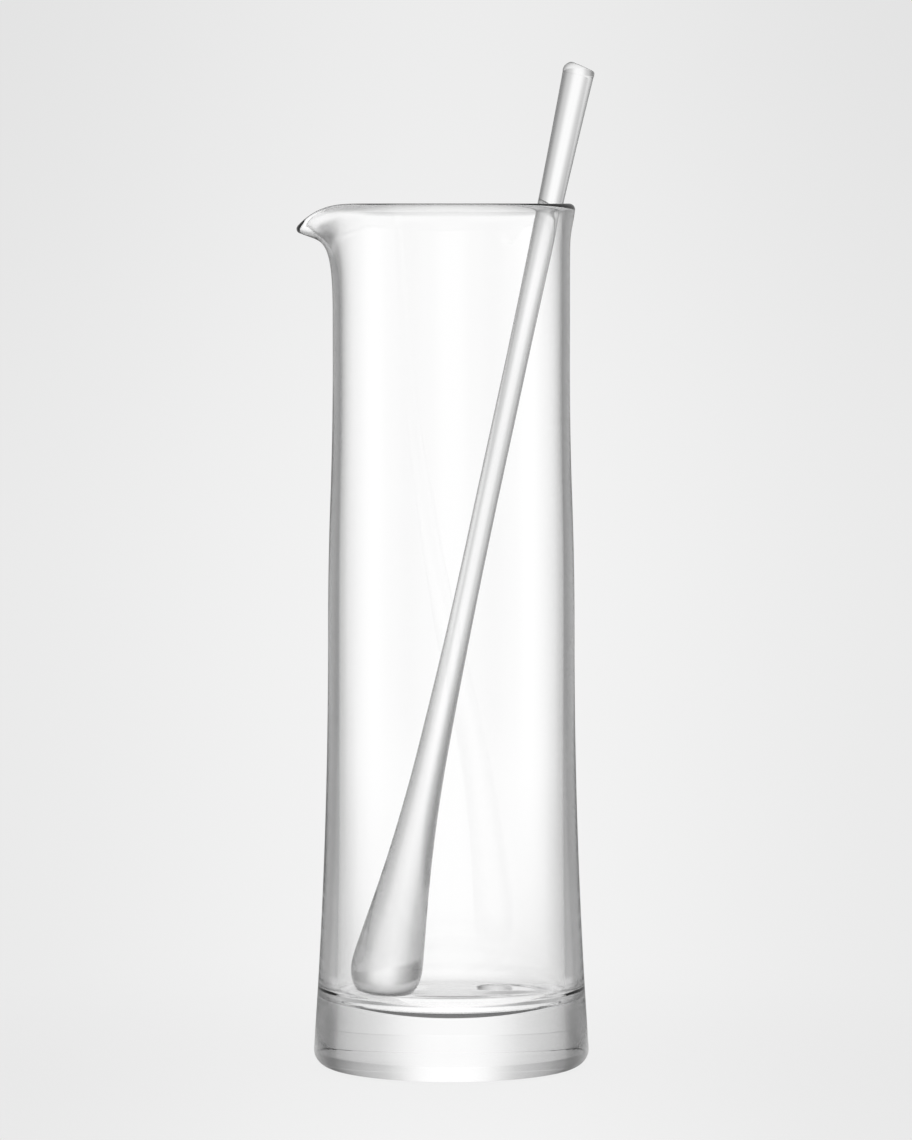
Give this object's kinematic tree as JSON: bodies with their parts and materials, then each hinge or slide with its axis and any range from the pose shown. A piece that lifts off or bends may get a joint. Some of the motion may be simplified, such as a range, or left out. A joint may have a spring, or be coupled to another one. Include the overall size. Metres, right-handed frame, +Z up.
{
  "type": "cocktail pitcher with stirrer",
  "caption": "Tall glass cocktail pitcher with a pulled pouring spout and a thick solid foot, and a loose solid glass stirrer that leans on the lip.",
  "frame": {"origin": "centre of the foot's flat underside, on the pitcher's axis", "axes": "+Z up along the pitcher's axis, -X towards the spout, and the stirrer leans in the XZ plane towards +X"},
  "size_m": [0.103, 0.096, 0.3489],
  "materials": {
    "pitcher_glass": "clear, fire-polished",
    "stirrer_glass": "clear, fire-polished"
  },
  "bodies": {
    "pitcher": {"pitcher": "pitcher_glass"},
    "stirrer": {"stirrer": "stirrer_glass"}
  },
  "joints": [
    {"name": "stirrer_lift", "type": "slide", "parent": "pitcher", "child": "stirrer", "axis": [0, 0, 1], "range_m": [0, 0.285]}
  ]
}
